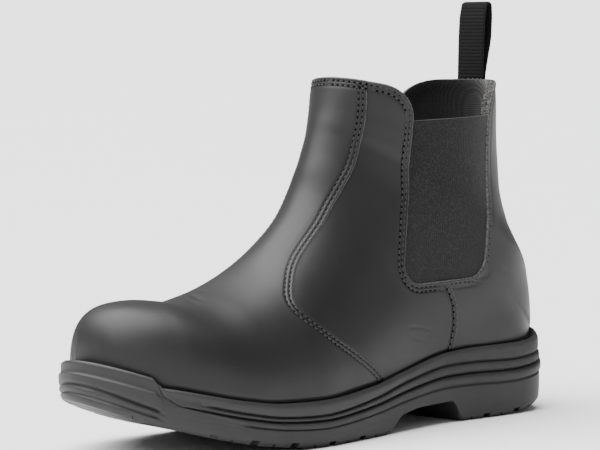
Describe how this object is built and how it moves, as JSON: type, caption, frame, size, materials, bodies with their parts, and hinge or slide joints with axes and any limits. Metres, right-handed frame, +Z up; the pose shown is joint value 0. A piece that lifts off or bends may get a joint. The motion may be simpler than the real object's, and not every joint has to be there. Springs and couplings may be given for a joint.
{
  "type": "composite toe boot",
  "caption": "Slip-on ankle work boot with a rounded protective toe, elastic side gores, a pull loop at the back and a lugged two-layer sole with a toe bumper.",
  "frame": {"origin": "on the floor, under the middle of the boot's bounding box", "axes": "+Z up, -Y towards the toe, +Y towards the heel, +X towards the outer side of the foot"},
  "size_m": [0.1146, 0.306, 0.2243],
  "materials": {
    "upper": "smooth black leather with a soft sheen",
    "gore_lateral": "matt black elastic",
    "gore_medial": "matt black elastic",
    "pull_loop": "ribbed black webbing",
    "midsole": "satin with stippled bands",
    "outsole": "satin black rubber",
    "insole": "matt black"
  },
  "bodies": {
    "root": {"outsole": "outsole", "midsole": "midsole", "insole": "insole", "upper": "upper", "gore_lateral": "gore_lateral", "gore_medial": "gore_medial", "pull_loop": "pull_loop"}
  },
  "joints": []
}
